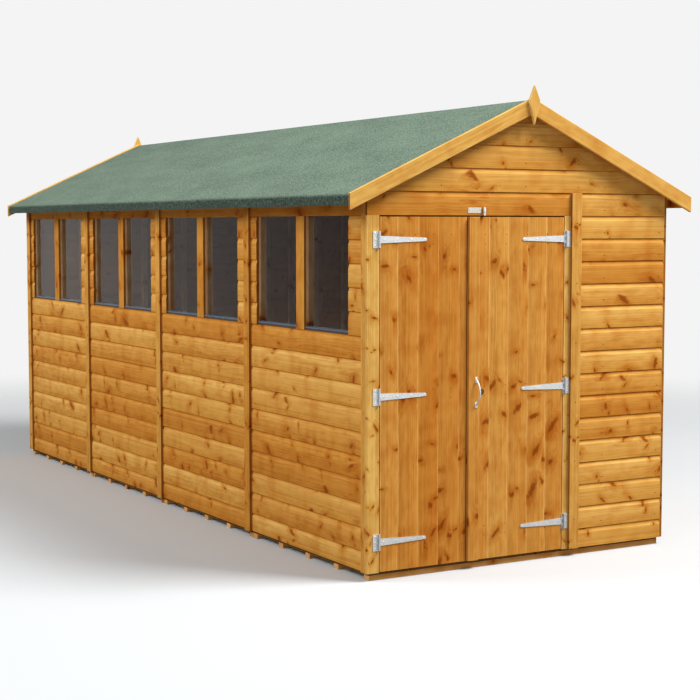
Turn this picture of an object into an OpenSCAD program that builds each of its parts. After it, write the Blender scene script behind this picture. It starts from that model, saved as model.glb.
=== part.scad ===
// Wooden garden shed: clad timber panels on a boarded floor, an apex roof covered with felt,
// fixed windows down one long side, and a pair of ledged and braced doors in the front gable.
// The origin is on the ground under the middle of the shed. The doors face -Y, the windows -X.

/* [Body] */
// Width over the cladding of the two long sides
body_w = 1794; // [1700:1:2400]
// Length over the cladding of the two gables
body_l = 4902; // [3900:1:6000]
// Panels along each long side
panels = 4; // [4:1:4]
// From the front face to the first joint of the side panels
front_return = 72; // [60:1:110]
// From the last side panel to the rear face
rear_return = 14; // [0:1:40]
// Gap between neighbouring panels, behind the cover strips
joint_gap = 2; // [1:0.5:4]

/* [Timber] */
// Thickness of the shiplap cladding
board_t = 16; // [12:1:20]
// Depth of the wall framing, behind the cladding
frame_d = 44; // [34:1:60]
// Face width of a stud or rail
stud_w = 34; // [28:1:44]
// Thickness of the cover strips
strip_t = 16; // [12:1:20]
// Width of the cover strips
strip_w = 60; // [50:1:80]
// How far the side strips hang below the cladding
strip_drop = 6; // [0:1:12]

/* [Floor] */
// Height of the bearers
bearer_h = 25; // [20:1:50]
// Width of a bearer
bearer_w = 45; // [35:1:60]
// Bearers under each floor section
bearers_per_section = 5; // [4:1:6]
// Thickness of the floor boards
deck_t = 12; // [10:1:20]
// How far the floor stands in from the cladding of the long sides
floor_inset = 4; // [0:1:14]

/* [Windows] */
// Height of a window, down from the level of the door head
window_h = 572; // [400:1:900]
// Width of the post between two panes
mullion_w = 82; // [60:1:120]
// From the front edge of a panel to its first pane
near_pier = 132; // [110:1:200]
// From the second pane to the rear edge of its panel
far_pier = 96; // [75:1:160]
// Thickness of the glazing sheet
pane_t = 3; // [2:0.5:6]
// From the face of the cladding to the glazing
pane_inset = 27; // [20:1:40]
// Height of the sill bead at the glazing
bead_h = 20; // [12:1:30]
// Height of the sill bead at its outer edge
bead_lip = 6; // [3:1:10]
// From the face of the cladding to the sill bead's outer edge
bead_inset = 4; // [2:1:8]

/* [Roof] */
// From the door head up to the roof boards, at the cladding of the long sides
eaves_h = 140; // [110:1:220]
// How far the foot of the front gable's top panel is below the roof boards, at the long sides
gable_drop = 25.6; // [15:0.1:50]
// Pitch of the roof in degrees
roof_pitch = 24.58; // [18:0.01:32]
// From the cladding of a long side to the felt's edge
eaves_over = 130; // [100:1:160]
// From a gable's cladding to the face of its barge boards
gable_over = 54; // [40:1:80]
// Thickness of the roof boards
roof_t = 12; // [9:1:20]
// Clearance between the wall tops and the roof boards
roof_seat = 0.05; // [0.02:0.01:0.5]
// Thickness of the felt
felt_t = 3; // [2:0.5:5]
// Height of the felt turned down over the eaves
drip_h = 52; // [40:1:58]
// Thickness of the board behind the turned-down felt
fascia_t = 16; // [12:1:20]
// Depth of the ridge beam
ridge_beam_h = 90; // [70:1:120]
// Depth of a purlin
purlin_h = 60; // [45:1:80]
// From the middle of the roof to a purlin
purlin_x = 500; // [400:1:600]

/* [Barge boards] */
// Thickness of a barge board
barge_t = 18; // [14:1:22]
// Height of a barge board, measured straight down
barge_h = 79; // [60:1:95]
// How far a barge board stands above the felt
barge_lift = 8; // [0:1:15]
// How far a barge board runs past the felt's edge
barge_past = 8; // [0:1:20]
// Width of a finial
finial_w = 65; // [50:1:90]
// Height of a finial
finial_h = 192; // [140:1:220]
// How far a finial's tip stands above the point of the barge boards
finial_rise = 60; // [30:1:80]
// How far a finial's widest place is below its tip
finial_shoulder = 75; // [50:1:90]
// Thickness of a finial
finial_t = 16; // [12:1:20]

/* [Doors] */
// Width of the left door post's face, from the cladding of the long side
left_post_w = 51; // [46:1:70]
// Width of the right door post's face
right_post_w = 65; // [60:1:90]
// Width of the left leaf
left_leaf_w = 491; // [400:1:560]
// Width of the right leaf
right_leaf_w = 584; // [400:1:640]
// Height of a leaf
leaf_h = 1688; // [1500:1:2100]
// Gap between a leaf and its post
side_gap = 5; // [4:0.5:8]
// Gap between the two leaves
meeting_gap = 6; // [5:0.5:9]
// Gap between a leaf and the floor
floor_gap = 5; // [5:0.5:12]
// Gap between a leaf and the boards over it
head_gap = 6; // [5:0.5:10]
// Depth of a ledge or brace on the back of a leaf
ledge_t = 22; // [16:1:28]
// Height of a ledge
ledge_h = 90; // [70:1:120]
// From the edge of a leaf to the end of a ledge
ledge_inset = 40; // [30:1:60]
// Width of a brace, measured level
brace_w = 110; // [80:1:140]

/* [Hinges] */
// From the foot of a leaf to the lowest hinge
low_hinge = 143; // [100:1:250]
// From the head of a leaf to the highest hinge
high_hinge = 108; // [90:1:200]
// How far the middle hinge is below half way
mid_drop = 24; // [0:1:40]
// Height of the hinge plates
hinge_h = 80; // [70:1:100]
// Width of the plate on the post
plate_w = 24; // [20:1:34]
// Thickness of the hinge straps and plates
hinge_t = 3; // [2:0.5:4]
// Clearance between the knuckles and the boards
knuckle_clear = 1; // [0.5:0.1:2]
// Radius of the hinge pin
pin_r = 2.5; // [2:0.1:3]
// Radial clearance of the pin
pin_clear = 0.05; // [0.02:0.01:0.1]
// Outer radius of a knuckle
knuckle_r = 5.5; // [4.5:0.1:6.5]
// Gap between neighbouring knuckles
knuckle_gap = 0.6; // [0.3:0.1:1]
// From the pin to the edge of its leaf
pin_back = 11; // [9:0.5:14]
// How far the tall part of a strap, beside the knuckles, laps onto its leaf
strap_flap = 1; // [0.5:0.5:8]
// Length of a strap, from the pin
strap_len = 270; // [220:1:330]
// Height of a strap at its root
strap_root = 35; // [28:1:44]
// Height of a strap at its tip
strap_tip = 17; // [14:1:26]

/* [Fittings] */
// Height of the handle's middle above the foot of the leaf
handle_h = 833; // [600:1:1100]
// From end to end of the handle
handle_l = 152; // [120:1:200]
// Width of the handle's end tabs
handle_tab_w = 13; // [10:1:20]
// Height of an end tab
handle_tab_h = 29; // [20:1:35]
// Thickness of an end tab
handle_tab_t = 2; // [1.5:0.5:4]
// How far the bow of the handle stands off
handle_bow = 39; // [30:1:50]
// Radius of the handle's rod
handle_rod_r = 4; // [3:0.5:6]
// From the edge of the leaf to the middle of the handle
handle_edge = 42; // [38:1:50]
// Radius of the lock's rose
rose_r = 14; // [10:0.5:18]
// Radius of the raised middle of the lock's rose
rose_boss_r = 10; // [6:0.5:14]
// Thickness of the lock's rose
rose_t = 4; // [2:0.5:6]
// From the edge of the leaf to the middle of the lock
rose_edge = 86; // [80:1:110]
// How far the turn button is from the edge of the right leaf
button_edge = 91; // [70:1:120]
// Length of the turn button
button_l = 42; // [36:1:44]
// Width of the turn button
button_w = 12; // [10:1:16]
// Thickness of the turn button
button_t = 9; // [6:0.5:12]
// Radius of the turn button's screw
screw_r = 3; // [2:0.1:4]
// Radius of the screw's head and of the washer behind the button
screw_head_r = 5.5; // [4.5:0.1:8]
// Thickness of the screw's head
screw_head_t = 2; // [1.5:0.5:4]
// Thickness of the washer behind the turn button
washer_t = 2; // [1.5:0.5:4]
// Play of the turn button between the washer and the screw's head
button_play = 0.2; // [0.1:0.1:0.5]
// Width of the bare plate over the doors
tag_w = 77; // [50:1:90]
// Height of the bare plate over the doors
tag_h = 27; // [20:1:30]
// Thickness of the bare plate over the doors
tag_t = 2; // [1:0.5:4]

/* [Hidden] */
$fn = 48;

// Outer faces and levels
west = -body_w/2;
east = body_w/2;
south = -body_l/2;
north = body_l/2;
floor_z = bearer_h + deck_t;
leaf_z = floor_z + floor_gap;
head_z = leaf_z + leaf_h + head_gap;
window_top = head_z;
sill_z = window_top - window_h;
wall_t = board_t + frame_d;

// Side panels, counted from the front
panel_l = (body_l - front_return - rear_return)/panels;
function panel_y(k) = south + front_return + k*panel_l;
function clad_from(k) = k == 0 ? south + board_t : panel_y(k) + joint_gap/2;
function clad_to(k) = k == panels - 1 ? north - board_t : panel_y(k + 1) - joint_gap/2;
function frame_from(k) = max(clad_from(k), south + wall_t);
function frame_to(k) = min(clad_to(k), north - wall_t);
window_w = (panel_l - near_pier - mullion_w - far_pier)/2;
function mullion_y(k) = panel_y(k) + near_pier + window_w;
function pane_y(k, side) = side < 0 ? panel_y(k) + near_pier : mullion_y(k) + mullion_w;

// Floor sections
floor_from = south + board_t;
section_l = (body_l - 2*board_t)/panels;

// Front gable, from left to right
opening_x = west + left_post_w;
left_leaf_x = opening_x + side_gap;
right_leaf_x = left_leaf_x + left_leaf_w + meeting_gap;
right_post_x = right_leaf_x + right_leaf_w + side_gap;
front_joint = right_post_x + right_post_w + joint_gap/2;

// Roof planes
slope = tan(roof_pitch);
felt_drop = felt_t/cos(roof_pitch);
board_drop = roof_t/cos(roof_pitch);
ridge_z = head_z + eaves_h + board_drop + felt_drop + slope*body_w/2;
eaves_x = body_w/2 + eaves_over;
roof_y = body_l/2 + gable_over - barge_t;
drip_z = ridge_z - slope*eaves_x - drip_h;
barge_x = eaves_x + barge_past;
barge_top = ridge_z + barge_lift;
function felt_z(x) = ridge_z - slope*abs(x);
function deck_z(x) = felt_z(x) - felt_drop;
function soffit_z(x) = deck_z(x) - board_drop;
function wall_top(x) = soffit_z(x) - roof_seat;
plate_z = soffit_z(east) - stud_w;
gable_z = head_z + eaves_h - gable_drop;

// Door hinges
pin_y = south - knuckle_r - knuckle_clear;
left_pin_x = left_leaf_x - pin_back;
right_pin_x = right_leaf_x + right_leaf_w + pin_back;
low_z = leaf_z + low_hinge;
high_z = leaf_z + leaf_h - high_hinge;
hinge_levels = [low_z, (low_z + high_z)/2 - mid_drop, high_z];
knuckles = 5;
knuckle_h = hinge_h/knuckles;
flap_x = knuckle_r + knuckle_clear;

// Turn button over the right leaf
button_x = right_leaf_x + button_edge;
button_z = head_z + button_l/2;
button_back = south - washer_t - button_play;
button_front = button_back - button_t;

honey = [0.80, 0.55, 0.23];
pale_honey = [0.91, 0.69, 0.33];
raw_pine = [0.85, 0.70, 0.48];
felt_green = [0.50, 0.60, 0.52];
zinc = [0.88, 0.90, 0.90];

// A box given by its two corners
module block(low, high) {
  translate(low)
    cube(high - low);
}

// An outline in X and Z, drawn out from y0 to y1
module profile(points, y0, y1) {
  translate([0, y1, 0])
    rotate([90, 0, 0])
      linear_extrude(y1 - y0)
        polygon(points);
}

// A piece that stands on z0 and is cut off under the roof boards
module to_roof(x0, x1, y0, y1, z0) {
  foot = [[x0, z0], [x1, z0]];
  peak = x0 < 0 && x1 > 0 ? [[0, wall_top(0)]] : [];
  profile(concat(foot, [[x1, wall_top(x1)]], peak, [[x0, wall_top(x0)]]), y0, y1);
}

// The right-hand copy of a piece that is drawn on the left
module both_sides() {
  children();
  mirror([1, 0, 0])
    children();
}

// Floor
module bearers() {
  color(honey)
    for (k = [0:panels - 1])
      for (i = [0:bearers_per_section - 1]) {
        run = section_l - joint_gap - bearer_w;
        y = floor_from + k*section_l + joint_gap/2 + i*run/(bearers_per_section - 1);
        block([west + floor_inset, y, 0], [east - floor_inset, y + bearer_w, bearer_h]);
      }
}

module floor_decks() {
  color(raw_pine)
    for (k = [0:panels - 1]) {
      y = floor_from + k*section_l;
      block([west + floor_inset, y + joint_gap/2, bearer_h],
            [east - floor_inset, y + section_l - joint_gap/2, floor_z]);
    }
}

// Windowed long side
module left_dado() {
  color(honey)
    for (k = [0:panels - 1])
      block([west, clad_from(k), floor_z], [west + board_t, clad_to(k), sill_z]);
}

module left_piers() {
  color(honey)
    for (k = [0:panels - 1]) {
      block([west, clad_from(k), sill_z], [west + board_t, pane_y(k, -1), window_top]);
      block([west, mullion_y(k), sill_z], [west + board_t, mullion_y(k) + mullion_w, window_top]);
      block([west, pane_y(k, 1) + window_w, sill_z], [west + board_t, clad_to(k), window_top]);
    }
}

module left_heads() {
  color(honey)
    for (k = [0:panels - 1])
      to_roof(west, west + board_t, clad_from(k), clad_to(k), window_top);
}

module left_glazing() {
  color([0.2, 0.2, 0.2, 0.5])
    for (k = [0:panels - 1])
      for (side = [-1, 1])
        block([west + pane_inset, pane_y(k, side), sill_z],
              [west + pane_inset + pane_t, pane_y(k, side) + window_w, window_top]);
}

// A sloping strip in front of each pane, which throws water off the sill
module left_sill_beads() {
  lip_x = west + bead_inset;
  glass_x = west + pane_inset;
  section = [[lip_x, sill_z], [glass_x, sill_z], [glass_x, sill_z + bead_h], [lip_x, sill_z + bead_lip]];
  color([0.31, 0.41, 0.51])
    for (k = [0:panels - 1])
      for (side = [-1, 1])
        profile(section, pane_y(k, side), pane_y(k, side) + window_w);
}

// Plain long side
module right_cladding() {
  color(honey)
    for (k = [0:panels - 1])
      to_roof(east - board_t, east, clad_from(k), clad_to(k), floor_z);
}

// Framing of the long sides: studs between the sole plates and the wall plates
module stud(x, y, width) {
  block([x, y, floor_z + stud_w], [x + frame_d, y + width, plate_z]);
}

module side_studs() {
  color(raw_pine)
    for (k = [0:panels - 1]) {
      left_x = west + board_t;
      right_x = east - wall_t;
      stud(left_x, pane_y(k, -1) - stud_w, stud_w);
      stud(left_x, mullion_y(k), mullion_w);
      stud(left_x, pane_y(k, 1) + window_w, stud_w);
      for (third = [1, 2])
        stud(right_x, panel_y(k) + third*panel_l/3 - stud_w/2, stud_w);
      for (x = [left_x, right_x]) {
        if (k > 0)
          stud(x, clad_from(k), stud_w);
        if (k < panels - 1)
          stud(x, clad_to(k) - stud_w, stud_w);
      }
    }
}

// Rails over and under each pane
module side_rails() {
  x = west + board_t;
  color(raw_pine)
    for (k = [0:panels - 1])
      for (side = [-1, 1])
        for (z = [sill_z - stud_w, window_top])
          block([x, pane_y(k, side), z], [x + frame_d, pane_y(k, side) + window_w, z + stud_w]);
}

module side_plates() {
  color(raw_pine)
    both_sides()
      for (k = [0:panels - 1]) {
        x0 = west + board_t;
        x1 = west + wall_t;
        block([x0, frame_from(k), floor_z], [x1, frame_to(k), floor_z + stud_w]);
        to_roof(x0, x1, frame_from(k), frame_to(k), plate_z);
      }
}

// Front gable: the post at the corner also covers the edge of the corner strip
module front_left_post() {
  color(pale_honey)
    block([west - strip_t, south, floor_z], [opening_x, south + board_t, head_z]);
}

module front_right_post() {
  color(pale_honey)
    block([right_post_x, south, floor_z], [front_joint - joint_gap/2, south + board_t, head_z]);
}

// The board over the doors, and the top panel across the full width
module front_gable() {
  color(honey) {
    block([west - strip_t, south, head_z], [front_joint - joint_gap/2, south + board_t, gable_z - joint_gap]);
    to_roof(west - strip_t, east, south, south + board_t, gable_z);
  }
}

module front_side_panel() {
  color(honey)
    block([front_joint + joint_gap/2, south, floor_z], [east, south + board_t, gable_z - joint_gap]);
}

// Rear gable, in the same two widths
module rear_cladding() {
  color(honey) {
    to_roof(west, front_joint - joint_gap/2, north - board_t, north, floor_z);
    to_roof(front_joint + joint_gap/2, east, north - board_t, north, floor_z);
  }
}

// Framing of the gables: posts stand under the ridge beam and the purlins
module gable_post(x, y, foot, beam_h) {
  head = min(soffit_z(x - stud_w/2), soffit_z(x + stud_w/2)) - beam_h;
  block([x - stud_w/2, y, foot], [x + stud_w/2, y + frame_d, head]);
}

module gable_studs() {
  front_y = south + board_t;
  rear_y = north - wall_t;
  sole_top = floor_z + stud_w;
  rail_top = head_z + frame_d;
  corner_x = east - board_t - stud_w;
  color(raw_pine) {
    block([west + board_t, front_y, floor_z], [opening_x, front_y + frame_d, head_z]);
    block([right_post_x, front_y, floor_z], [right_post_x + stud_w, front_y + frame_d, head_z]);
    gable_post(-purlin_x, front_y, rail_top, purlin_h);
    gable_post(0, front_y, rail_top, ridge_beam_h);
    gable_post(purlin_x, front_y, sole_top, purlin_h);
    to_roof(front_joint + joint_gap/2, front_joint + joint_gap/2 + stud_w,
            front_y, front_y + frame_d, sole_top);
    to_roof(corner_x, corner_x + stud_w, front_y, front_y + frame_d, sole_top);
    for (x = [-purlin_x, purlin_x])
      gable_post(x, rear_y, sole_top, purlin_h);
    gable_post(0, rear_y, sole_top, ridge_beam_h);
    to_roof(front_joint + joint_gap/2, front_joint + joint_gap/2 + stud_w,
            rear_y, rear_y + frame_d, sole_top);
    both_sides()
      to_roof(west + board_t, west + board_t + stud_w, rear_y, rear_y + frame_d, sole_top);
  }
}

module gable_rails() {
  front_y = south + board_t;
  rear_y = north - wall_t;
  inner_w = west + board_t;
  inner_e = east - board_t;
  left_end = front_joint - joint_gap/2;
  right_end = front_joint + joint_gap/2;
  color(raw_pine) {
    block([inner_w, front_y, head_z], [left_end, front_y + frame_d, head_z + frame_d]);
    block([right_end, front_y, floor_z], [inner_e, front_y + frame_d, floor_z + stud_w]);
    block([inner_w, rear_y, floor_z], [left_end, rear_y + frame_d, floor_z + stud_w]);
    block([right_end, rear_y, floor_z], [inner_e, rear_y + frame_d, floor_z + stud_w]);
  }
}

// Strips that cover the joints
module side_strips() {
  color(pale_honey)
    both_sides()
      for (k = [1:panels - 1])
        to_roof(west - strip_t, west, panel_y(k) - strip_w/2, panel_y(k) + strip_w/2, floor_z - strip_drop);
}

module corner_strips() {
  color(pale_honey) {
    to_roof(west - strip_t, west, south + board_t, south + strip_w, floor_z);
    to_roof(east, east + strip_t, south, south + strip_w, floor_z);
    both_sides()
      to_roof(west - strip_t, west, north - strip_w, north, floor_z);
  }
}

module front_strip() {
  color(pale_honey)
    block([front_joint - strip_w/2, south - strip_t, floor_z], [front_joint + strip_w/2, south, gable_z]);
}

module rear_strip() {
  color(pale_honey)
    to_roof(front_joint - strip_w/2, front_joint + strip_w/2, north, north + strip_t, floor_z);
}

// Roof: a beam under the ridge and a purlin under each slope, boards, then felt
module roof_beam(x, depth) {
  x0 = x - stud_w/2;
  x1 = x + stud_w/2;
  to_roof(x0, x1, south + board_t, north - board_t, min(soffit_z(x0), soffit_z(x1)) - depth);
}

module purlins() {
  color(raw_pine) {
    roof_beam(0, ridge_beam_h);
    roof_beam(-purlin_x, purlin_h);
    roof_beam(purlin_x, purlin_h);
  }
}

module roof_slope() {
  edge = felt_t - eaves_x;
  profile([[0, soffit_z(0)], [0, deck_z(0)], [edge, deck_z(edge)], [edge, soffit_z(edge)]],
          -roof_y, roof_y);
}

module roof_left() {
  color(raw_pine)
    roof_slope();
}

module roof_right() {
  color(raw_pine)
    mirror([1, 0, 0])
      roof_slope();
}

module eaves_fascias() {
  outer = felt_t - eaves_x;
  color(honey)
    both_sides()
      to_roof(outer, outer + fascia_t, -roof_y, roof_y, drip_z + felt_t);
}

module felt_sheet() {
  inner = felt_t - eaves_x;
  profile([[0, deck_z(0)], [0, felt_z(0)], [-eaves_x, felt_z(eaves_x)], [-eaves_x, drip_z],
           [inner, drip_z], [inner, deck_z(inner)]], -roof_y, roof_y);
}

module felt_left() {
  color(felt_green)
    felt_sheet();
}

module felt_right() {
  color(felt_green)
    mirror([1, 0, 0])
      felt_sheet();
}

// Barge boards: a pair at each gable, mitred at the point and cut plumb at the eaves
module barge_pair(y) {
  mitre = joint_gap/2;
  top_in = barge_top - slope*mitre;
  top_out = barge_top - slope*barge_x;
  both_sides()
    profile([[-mitre, top_in], [-barge_x, top_out], [-barge_x, top_out - barge_h], [-mitre, top_in - barge_h]],
            y, y + barge_t);
}

module front_barges() {
  color(pale_honey)
    barge_pair(-roof_y - barge_t);
}

module rear_barges() {
  color(pale_honey)
    barge_pair(roof_y);
}

module finial(y) {
  tip = barge_top + finial_rise;
  profile([[0, tip], [-finial_w/2, tip - finial_shoulder], [0, tip - finial_h], [finial_w/2, tip - finial_shoulder]],
          y, y + finial_t);
}

module finials() {
  color(pale_honey) {
    finial(-roof_y - barge_t - finial_t);
    finial(roof_y + barge_t);
  }
}

// Doors: the parts of one leaf, with its pin at the origin of X and the leaf towards +X
module hinge_pin(z) {
  translate([0, pin_y, z - hinge_h/2])
    cylinder(r = pin_r, h = hinge_h);
}

module knuckle(z, i) {
  translate([0, pin_y, z - hinge_h/2 + i*knuckle_h + knuckle_gap/2])
    cylinder(r = knuckle_r, h = knuckle_h - knuckle_gap);
}

// The short tongue that joins a knuckle to its plate
module tongue(z, i, x0, x1) {
  foot = z - hinge_h/2 + i*knuckle_h;
  block([x0, pin_y, foot + knuckle_gap/2], [x1, south - hinge_t/2, foot + knuckle_h - knuckle_gap/2]);
}

module hinge_plate(z) {
  edge = -knuckle_r;
  block([edge - plate_w, south - hinge_t, z - hinge_h/2], [edge, south, z + hinge_h/2]);
  for (i = [0:2:knuckles - 1]) {
    tongue(z, i, edge - hinge_t, 0);
    knuckle(z, i);
  }
  hinge_pin(z);
}

module strap_outline() {
  tip_x = strap_len - strap_tip/2;
  polygon([[pin_back, -strap_root/2], [tip_x, -strap_tip/2], [tip_x, strap_tip/2], [pin_back, strap_root/2]]);
  translate([tip_x, 0])
    circle(d = strap_tip);
  translate([flap_x, -hinge_h/2])
    square([pin_back + strap_flap - flap_x, hinge_h]);
}

module hinge_strap(z) {
  difference() {
    union() {
      translate([0, south, z])
        rotate([90, 0, 0])
          linear_extrude(hinge_t)
            strap_outline();
      for (i = [1:2:knuckles - 1]) {
        tongue(z, i, 0, flap_x + hinge_t);
        knuckle(z, i);
      }
    }
    translate([0, pin_y, z - hinge_h])
      cylinder(r = pin_r + pin_clear, h = 2*hinge_h);
  }
}

module leaf_ledges(width) {
  x0 = pin_back + ledge_inset;
  x1 = pin_back + width - ledge_inset;
  y0 = south + board_t;
  for (z = hinge_levels)
    block([x0, y0, z - ledge_h/2], [x1, y0 + ledge_t, z + ledge_h/2]);
  for (i = [0, 1]) {
    low = hinge_levels[i] + ledge_h/2 + joint_gap/2;
    high = hinge_levels[i + 1] - ledge_h/2 - joint_gap/2;
    profile([[x0, low], [x0 + brace_w, low], [x1, high], [x1 - brace_w, high]], y0, y0 + ledge_t);
  }
}

module leaf_boards(width) {
  block([pin_back, south, leaf_z], [pin_back + width, south + board_t, leaf_z + leaf_h]);
}

module at_left_pin() {
  translate([left_pin_x, 0, 0])
    children();
}

module at_right_pin() {
  translate([right_pin_x, 0, 0])
    mirror([1, 0, 0])
      children();
}

module left_hinges() {
  color(zinc)
    at_left_pin()
      for (z = hinge_levels)
        hinge_plate(z);
}

module left_leaf() {
  color(honey)
    at_left_pin()
      leaf_boards(left_leaf_w);
}

module left_ledges() {
  color(raw_pine)
    at_left_pin()
      leaf_ledges(left_leaf_w);
}

module left_straps() {
  color(zinc)
    at_left_pin()
      for (z = hinge_levels)
        hinge_strap(z);
}

module right_hinges() {
  color(zinc)
    at_right_pin()
      for (z = hinge_levels)
        hinge_plate(z);
}

module right_leaf() {
  color(honey)
    at_right_pin()
      leaf_boards(right_leaf_w);
}

module right_ledges() {
  color(raw_pine)
    at_right_pin()
      leaf_ledges(right_leaf_w);
}

module right_straps() {
  color(zinc)
    at_right_pin()
      for (z = hinge_levels)
        hinge_strap(z);
}

// The strip down the free edge of the right leaf
module meeting_strip() {
  color(pale_honey)
    block([right_leaf_x, south - strip_t, leaf_z], [right_leaf_x + strip_w, south, leaf_z + leaf_h]);
}

// A bow handle on the meeting strip: a bent rod between two flat tabs
module pull_handle() {
  x = right_leaf_x + handle_edge;
  z = leaf_z + handle_h;
  face = south - strip_t;
  chord = handle_l/2 - handle_tab_h/2;
  rise = handle_bow - handle_rod_r;
  bow_r = (chord*chord + rise*rise)/(2*rise);
  half_angle = asin(chord/bow_r);
  color(zinc) {
    for (side = [-1, 1]) {
      mid = z + side*chord;
      block([x - handle_tab_w/2, face - handle_tab_t, mid - handle_tab_h/2],
            [x + handle_tab_w/2, face, mid + handle_tab_h/2]);
    }
    intersection() {
      translate([x, face - rise + bow_r, z])
        rotate([0, 90, 0])
          rotate([0, 0, -90 - half_angle])
            rotate_extrude(angle = 2*half_angle)
              translate([bow_r, 0])
                circle(r = handle_rod_r);
      block([x - handle_l, face - 2*handle_bow, z - handle_l], [x + handle_l, face, z + handle_l]);
    }
  }
}

module lock_rose() {
  color([0.25, 0.16, 0.10])
    translate([right_leaf_x + rose_edge, south, leaf_z + handle_h])
      rotate([90, 0, 0]) {
        cylinder(r = rose_r, h = rose_t/2);
        cylinder(r = rose_boss_r, h = rose_t);
      }
}

// The turn button and the screw it swings on
module button_screw() {
  color(zinc)
    translate([button_x, south, button_z])
      rotate([90, 0, 0]) {
        cylinder(r = screw_head_r, h = washer_t);
        cylinder(r = screw_r, h = south - button_front + screw_head_t);
        translate([0, 0, south - button_front + button_play])
          cylinder(r = screw_head_r, h = screw_head_t);
      }
}

module turn_button() {
  end = button_l/2 - button_w/2;
  color(zinc)
    translate([button_x, button_back, button_z])
      rotate([90, 0, 0])
        linear_extrude(button_t)
          difference() {
            union() {
              for (side = [-1, 1])
                translate([0, side*end])
                  circle(d = button_w);
              square([button_w, 2*end], center = true);
            }
            circle(r = screw_r + pin_clear);
          }
}

// A small bare plate beside the button, over the meeting of the doors
module name_plate() {
  x = right_leaf_x - joint_gap;
  z = head_z + button_w;
  color([0.90, 0.88, 0.84])
    block([x, south - tag_t, z], [x + tag_w, south, z + tag_h]);
}

bearers();
floor_decks();
left_dado();
left_piers();
left_heads();
left_glazing();
left_sill_beads();
right_cladding();
side_studs();
side_rails();
side_plates();
front_left_post();
front_right_post();
front_gable();
front_side_panel();
rear_cladding();
gable_studs();
gable_rails();
side_strips();
corner_strips();
front_strip();
rear_strip();
purlins();
roof_left();
roof_right();
eaves_fascias();
felt_left();
felt_right();
front_barges();
rear_barges();
finials();
left_hinges();
left_leaf();
left_ledges();
left_straps();
right_hinges();
right_leaf();
right_ledges();
right_straps();
meeting_strip();
pull_handle();
lock_rose();
button_screw();
turn_button();
name_plate();
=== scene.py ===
# Wooden garden shed, dressed round its packed timber parts in the order that it is put together:
# floor, walls, roof, doors and fittings, and last the plain studio that it stands in.
import math
import random

import bmesh
import bpy
from mathutils import Matrix, Vector, noise


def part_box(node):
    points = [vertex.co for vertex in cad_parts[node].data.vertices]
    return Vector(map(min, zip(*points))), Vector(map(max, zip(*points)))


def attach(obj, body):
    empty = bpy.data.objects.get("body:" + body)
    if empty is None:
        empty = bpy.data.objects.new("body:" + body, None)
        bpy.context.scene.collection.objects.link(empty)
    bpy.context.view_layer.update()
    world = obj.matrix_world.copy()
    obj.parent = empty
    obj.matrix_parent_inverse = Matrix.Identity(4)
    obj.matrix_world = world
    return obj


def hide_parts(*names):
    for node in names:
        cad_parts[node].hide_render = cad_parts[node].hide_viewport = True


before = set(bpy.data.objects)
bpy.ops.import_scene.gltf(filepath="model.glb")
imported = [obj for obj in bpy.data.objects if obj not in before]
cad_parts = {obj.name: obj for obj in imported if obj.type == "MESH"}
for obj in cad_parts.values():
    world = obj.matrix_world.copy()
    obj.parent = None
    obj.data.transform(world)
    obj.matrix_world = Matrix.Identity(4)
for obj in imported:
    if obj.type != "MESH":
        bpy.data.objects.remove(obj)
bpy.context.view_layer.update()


# Floor bearers: sawn softwood runners that lie flat across the shed, doubled where two sections of
# floor meet. They are nailed up into the floor boards and dipped with the rest of the shed, and only
# their ends show, under the long sides.
bearer_ease = 0.0015
bearer_pale = (234, 180, 106)
bearer_ruddy = (216, 152, 82)
knot_red = (182, 100, 22)
knot_heart = (140, 66, 10)
pale_glaze = (1.26, 1.50, 2.2, 1.0)
end_grain = 0.75
pale_edge = -0.7
sawn_back = 0.55
resin = (0.80, 0.57, 0.30, 1.0)
late_wood = (0.70, 0.51, 0.30, 1.0)
# dark glaze: soaked-in dip on end grain, and painted shade on scoop tops and sawn sides
dip_and_painted_shade = (0.36, 0.20, 0.09, 1.0)
ring_gap = 0.0055
grain_relief = 0.0006
wood_gloss = 0.05
log_length = 40
heart_aside = 0.04
heart_near = 0.04
heart_far = 0.10
end_on = 0.9
face_on = 0.5
square_on = 0.97
weld_gap = 1e-5
flat_angle = math.radians(1)
crease_angle = math.radians(20)
draw = random.Random(20)
up = Vector((0, 0, 1))


def dye(seen):
    """A colour given as it is seen, 0 to 255, as the linear values that a shader takes."""
    return tuple(((c / 255 + 0.055) / 1.055) ** 2.4 for c in seen) + (1.0,)


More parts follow.
